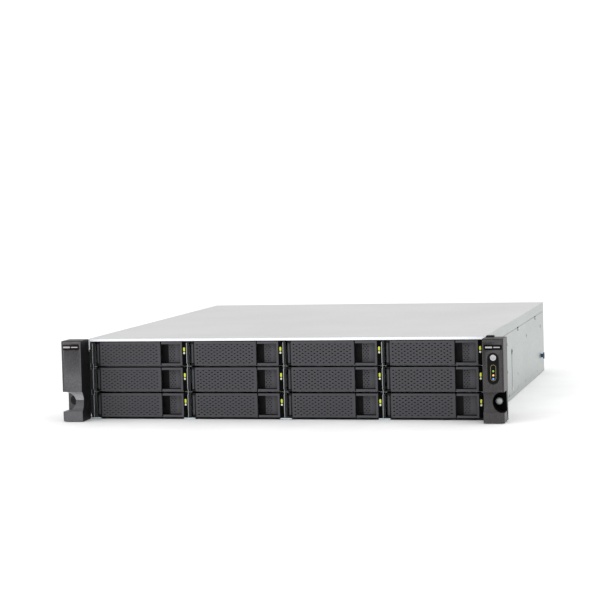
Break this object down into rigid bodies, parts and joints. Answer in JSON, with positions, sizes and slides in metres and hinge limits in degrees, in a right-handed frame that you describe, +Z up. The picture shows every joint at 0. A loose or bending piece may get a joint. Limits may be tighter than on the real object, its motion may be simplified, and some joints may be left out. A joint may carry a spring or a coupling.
{
  "type": "network attached storage",
  "caption": "Rack-mount storage unit with moulded ears, perforated pull-out drive trays, a sliding top cover, cooling fans and hot-swap power supplies.",
  "frame": {"origin": "middle of the bottom of the bounding box", "axes": "+X to the right seen from the front, +Y to the back, +Z up"},
  "size_m": [0.4826, 0.554, 0.0881],
  "materials": {
    "zinc_steel": "galvanised sheet, satin",
    "black_paint": "fine matt black powder coat",
    "ear_plastic": "satin dark grey with a fine fleck",
    "tray_plastic": "satin dark grey",
    "black_plastic": "matt black",
    "latch_plastic": "moulded green",
    "circuit_board": "solder mask",
    "bare_aluminium": "bare extrusion",
    "plated_screw": "nickel plate"
  },
  "bodies": {
    "chassis": {"chassis_base": "zinc_steel", "rear_panel": "zinc_steel", "front_top_cover": "zinc_steel", "drive_cage": "zinc_steel", "backplane": "circuit_board", "fan_wall": "black_plastic", "mainboard": "circuit_board", "processor_heatsink": "bare_aluminium", "rear_ports": "zinc_steel", "left_ear": "ear_plastic", "right_ear": "ear_plastic", "rack_brackets": "black_paint", "chassis_screws": "plated_screw"},
    "rear_cover": {"rear_top_cover": "zinc_steel"},
    "tray_row1_column1": {"drive_tray_row1_column1": "black_plastic"},
    "lever_row1_column1": {"tray_lever_row1_column1": "tray_plastic"},
    "latch_row1_column1": {"tray_latch_row1_column1": "tray_plastic"},
    "tray_row1_column2": {"drive_tray_row1_column2": "black_plastic"},
    "lever_row1_column2": {"tray_lever_row1_column2": "tray_plastic"},
    "latch_row1_column2": {"tray_latch_row1_column2": "tray_plastic"},
    "tray_row1_column3": {"drive_tray_row1_column3": "black_plastic"},
    "lever_row1_column3": {"tray_lever_row1_column3": "tray_plastic"},
    "latch_row1_column3": {"tray_latch_row1_column3": "tray_plastic"},
    "tray_row1_column4": {"drive_tray_row1_column4": "black_plastic"},
    "lever_row1_column4": {"tray_lever_row1_column4": "tray_plastic"},
    "latch_row1_column4": {"tray_latch_row1_column4": "tray_plastic"},
    "tray_row2_column1": {"drive_tray_row2_column1": "black_plastic"},
    "lever_row2_column1": {"tray_lever_row2_column1": "tray_plastic"},
    "latch_row2_column1": {"tray_latch_row2_column1": "tray_plastic"},
    "tray_row2_column2": {"drive_tray_row2_column2": "black_plastic"},
    "lever_row2_column2": {"tray_lever_row2_column2": "tray_plastic"},
    "latch_row2_column2": {"tray_latch_row2_column2": "tray_plastic"},
    "tray_row2_column3": {"drive_tray_row2_column3": "black_plastic"},
    "lever_row2_column3": {"tray_lever_row2_column3": "tray_plastic"},
    "latch_row2_column3": {"tray_latch_row2_column3": "tray_plastic"},
    "tray_row2_column4": {"drive_tray_row2_column4": "black_plastic"},
    "lever_row2_column4": {"tray_lever_row2_column4": "tray_plastic"},
    "latch_row2_column4": {"tray_latch_row2_column4": "tray_plastic"},
    "tray_row3_column1": {"drive_tray_row3_column1": "black_plastic"},
    "lever_row3_column1": {"tray_lever_row3_column1": "tray_plastic"},
    "latch_row3_column1": {"tray_latch_row3_column1": "tray_plastic"},
    "tray_row3_column2": {"drive_tray_row3_column2": "black_plastic"},
    "lever_row3_column2": {"tray_lever_row3_column2": "tray_plastic"},
    "latch_row3_column2": {"tray_latch_row3_column2": "tray_plastic"},
    "tray_row3_column3": {"drive_tray_row3_column3": "black_plastic"},
    "lever_row3_column3": {"tray_lever_row3_column3": "tray_plastic"},
    "latch_row3_column3": {"tray_latch_row3_column3": "tray_plastic"},
    "tray_row3_column4": {"drive_tray_row3_column4": "black_plastic"},
    "lever_row3_column4": {"tray_lever_row3_column4": "tray_plastic"},
    "latch_row3_column4": {"tray_latch_row3_column4": "tray_plastic"},
    "rotor_1": {"fan_rotor_1": "black_plastic"},
    "rotor_2": {"fan_rotor_2": "black_plastic"},
    "rotor_3": {"fan_rotor_3": "black_plastic"},
    "supply_lower": {"power_supply_lower": "zinc_steel"},
    "supply_latch_lower": {"power_supply_latch_lower": "latch_plastic"},
    "supply_upper": {"power_supply_upper": "zinc_steel"},
    "supply_latch_upper": {"power_supply_latch_upper": "latch_plastic"},
    "power_button": {"power_button": "plated_screw"},
    "rack_screw_left": {"rack_screw_left": "plated_screw"},
    "rack_screw_right": {"rack_screw_right": "plated_screw"}
  },
  "joints": [
    {"name": "rear_cover_slide", "type": "slide", "parent": "chassis", "child": "rear_cover", "axis": [0, 1, 0], "range_m": [0, 0.33]},
    {"name": "tray_row1_column1_slide", "type": "slide", "parent": "chassis", "child": "tray_row1_column1", "axis": [0, -1, 0], "range_m": [0, 0.2]},
    {"name": "lever_row1_column1_hinge", "type": "hinge", "parent": "tray_row1_column1", "child": "lever_row1_column1", "pos_m": [-0.2096, -0.2445, 0.0149], "axis": [0, 0, -1], "range_deg": [0, 60]},
    {"name": "latch_row1_column1_press", "type": "slide", "parent": "tray_row1_column1", "child": "latch_row1_column1", "axis": [1, 0, 0], "range_m": [0, 0.002], "stiffness_N_per_m": 600},
    {"name": "tray_row1_column2_slide", "type": "slide", "parent": "chassis", "child": "tray_row1_column2", "axis": [0, -1, 0], "range_m": [0, 0.2]},
    {"name": "lever_row1_column2_hinge", "type": "hinge", "parent": "tray_row1_column2", "child": "lever_row1_column2", "pos_m": [-0.1017, -0.2445, 0.0149], "axis": [0, 0, -1], "range_deg": [0, 60]},
    {"name": "latch_row1_column2_press", "type": "slide", "parent": "tray_row1_column2", "child": "latch_row1_column2", "axis": [1, 0, 0], "range_m": [0, 0.002], "stiffness_N_per_m": 600},
    {"name": "tray_row1_column3_slide", "type": "slide", "parent": "chassis", "child": "tray_row1_column3", "axis": [0, -1, 0], "range_m": [0, 0.2]},
    {"name": "lever_row1_column3_hinge", "type": "hinge", "parent": "tray_row1_column3", "child": "lever_row1_column3", "pos_m": [0.0062, -0.2445, 0.0149], "axis": [0, 0, -1], "range_deg": [0, 60]},
    {"name": "latch_row1_column3_press", "type": "slide", "parent": "tray_row1_column3", "child": "latch_row1_column3", "axis": [1, 0, 0], "range_m": [0, 0.002], "stiffness_N_per_m": 600},
    {"name": "tray_row1_column4_slide", "type": "slide", "parent": "chassis", "child": "tray_row1_column4", "axis": [0, -1, 0], "range_m": [0, 0.2]},
    {"name": "lever_row1_column4_hinge", "type": "hinge", "parent": "tray_row1_column4", "child": "lever_row1_column4", "pos_m": [0.1141, -0.2445, 0.0149], "axis": [0, 0, -1], "range_deg": [0, 60]},
    {"name": "latch_row1_column4_press", "type": "slide", "parent": "tray_row1_column4", "child": "latch_row1_column4", "axis": [1, 0, 0], "range_m": [0, 0.002], "stiffness_N_per_m": 600},
    {"name": "tray_row2_column1_slide", "type": "slide", "parent": "chassis", "child": "tray_row2_column1", "axis": [0, -1, 0], "range_m": [0, 0.2]},
    {"name": "lever_row2_column1_hinge", "type": "hinge", "parent": "tray_row2_column1", "child": "lever_row2_column1", "pos_m": [-0.2096, -0.2445, 0.043], "axis": [0, 0, -1], "range_deg": [0, 60]},
    {"name": "latch_row2_column1_press", "type": "slide", "parent": "tray_row2_column1", "child": "latch_row2_column1", "axis": [1, 0, 0], "range_m": [0, 0.002], "stiffness_N_per_m": 600},
    {"name": "tray_row2_column2_slide", "type": "slide", "parent": "chassis", "child": "tray_row2_column2", "axis": [0, -1, 0], "range_m": [0, 0.2]},
    {"name": "lever_row2_column2_hinge", "type": "hinge", "parent": "tray_row2_column2", "child": "lever_row2_column2", "pos_m": [-0.1017, -0.2445, 0.043], "axis": [0, 0, -1], "range_deg": [0, 60]},
    {"name": "latch_row2_column2_press", "type": "slide", "parent": "tray_row2_column2", "child": "latch_row2_column2", "axis": [1, 0, 0], "range_m": [0, 0.002], "stiffness_N_per_m": 600},
    {"name": "tray_row2_column3_slide", "type": "slide", "parent": "chassis", "child": "tray_row2_column3", "axis": [0, -1, 0], "range_m": [0, 0.2]},
    {"name": "lever_row2_column3_hinge", "type": "hinge", "parent": "tray_row2_column3", "child": "lever_row2_column3", "pos_m": [0.0062, -0.2445, 0.043], "axis": [0, 0, -1], "range_deg": [0, 60]},
    {"name": "latch_row2_column3_press", "type": "slide", "parent": "tray_row2_column3", "child": "latch_row2_column3", "axis": [1, 0, 0], "range_m": [0, 0.002], "stiffness_N_per_m": 600},
    {"name": "tray_row2_column4_slide", "type": "slide", "parent": "chassis", "child": "tray_row2_column4", "axis": [0, -1, 0], "range_m": [0, 0.2]},
    {"name": "lever_row2_column4_hinge", "type": "hinge", "parent": "tray_row2_column4", "child": "lever_row2_column4", "pos_m": [0.1141, -0.2445, 0.043], "axis": [0, 0, -1], "range_deg": [0, 60]},
    {"name": "latch_row2_column4_press", "type": "slide", "parent": "tray_row2_column4", "child": "latch_row2_column4", "axis": [1, 0, 0], "range_m": [0, 0.002], "stiffness_N_per_m": 600},
    {"name": "tray_row3_column1_slide", "type": "slide", "parent": "chassis", "child": "tray_row3_column1", "axis": [0, -1, 0], "range_m": [0, 0.2]},
    {"name": "lever_row3_column1_hinge", "type": "hinge", "parent": "tray_row3_column1", "child": "lever_row3_column1", "pos_m": [-0.2096, -0.2445, 0.0711], "axis": [0, 0, -1], "range_deg": [0, 60]},
    {"name": "latch_row3_column1_press", "type": "slide", "parent": "tray_row3_column1", "child": "latch_row3_column1", "axis": [1, 0, 0], "range_m": [0, 0.002], "stiffness_N_per_m": 600},
    {"name": "tray_row3_column2_slide", "type": "slide", "parent": "chassis", "child": "tray_row3_column2", "axis": [0, -1, 0], "range_m": [0, 0.2]},
    {"name": "lever_row3_column2_hinge", "type": "hinge", "parent": "tray_row3_column2", "child": "lever_row3_column2", "pos_m": [-0.1017, -0.2445, 0.0711], "axis": [0, 0, -1], "range_deg": [0, 60]},
    {"name": "latch_row3_column2_press", "type": "slide", "parent": "tray_row3_column2", "child": "latch_row3_column2", "axis": [1, 0, 0], "range_m": [0, 0.002], "stiffness_N_per_m": 600},
    {"name": "tray_row3_column3_slide", "type": "slide", "parent": "chassis", "child": "tray_row3_column3", "axis": [0, -1, 0], "range_m": [0, 0.2]},
    {"name": "lever_row3_column3_hinge", "type": "hinge", "parent": "tray_row3_column3", "child": "lever_row3_column3", "pos_m": [0.0062, -0.2445, 0.0711], "axis": [0, 0, -1], "range_deg": [0, 60]},
    {"name": "latch_row3_column3_press", "type": "slide", "parent": "tray_row3_column3", "child": "latch_row3_column3", "axis": [1, 0, 0], "range_m": [0, 0.002], "stiffness_N_per_m": 600},
    {"name": "tray_row3_column4_slide", "type": "slide", "parent": "chassis", "child": "tray_row3_column4", "axis": [0, -1, 0], "range_m": [0, 0.2]},
    {"name": "lever_row3_column4_hinge", "type": "hinge", "parent": "tray_row3_column4", "child": "lever_row3_column4", "pos_m": [0.1141, -0.2445, 0.0711], "axis": [0, 0, -1], "range_deg": [0, 60]},
    {"name": "latch_row3_column4_press", "type": "slide", "parent": "tray_row3_column4", "child": "latch_row3_column4", "axis": [1, 0, 0], "range_m": [0, 0.002], "stiffness_N_per_m": 600},
    {"name": "rotor_1_spin", "type": "hinge", "parent": "chassis", "child": "rotor_1", "pos_m": [-0.14, -0.037, 0.0435], "axis": [0, 1, 0], "continuous": true},
    {"name": "rotor_2_spin", "type": "hinge", "parent": "chassis", "child": "rotor_2", "pos_m": [0, -0.037, 0.0435], "axis": [0, 1, 0], "continuous": true},
    {"name": "rotor_3_spin", "type": "hinge", "parent": "chassis", "child": "rotor_3", "pos_m": [0.14, -0.037, 0.0435], "axis": [0, 1, 0], "continuous": true},
    {"name": "supply_lower_slide", "type": "slide", "parent": "chassis", "child": "supply_lower", "axis": [0, 1, 0], "range_m": [0, 0.24]},
    {"name": "supply_latch_lower_press", "type": "slide", "parent": "supply_lower", "child": "supply_latch_lower", "axis": [-1, 0, 0], "range_m": [0, 0.0025], "stiffness_N_per_m": 600},
    {"name": "supply_upper_slide", "type": "slide", "parent": "chassis", "child": "supply_upper", "axis": [0, 1, 0], "range_m": [0, 0.24]},
    {"name": "supply_latch_upper_press", "type": "slide", "parent": "supply_upper", "child": "supply_latch_upper", "axis": [-1, 0, 0], "range_m": [0, 0.0025], "stiffness_N_per_m": 600},
    {"name": "power_button_press", "type": "slide", "parent": "chassis", "child": "power_button", "axis": [0, 1, 0], "range_m": [0, 0.001], "stiffness_N_per_m": 800},
    {"name": "rack_screw_left_turn", "type": "hinge", "parent": "chassis", "child": "rack_screw_left", "pos_m": [-0.234, -0.249, 0.0218], "axis": [0, 1, 0], "continuous": true},
    {"name": "rack_screw_right_turn", "type": "hinge", "parent": "chassis", "child": "rack_screw_right", "pos_m": [0.234, -0.249, 0.0218], "axis": [0, 1, 0], "continuous": true}
  ]
}
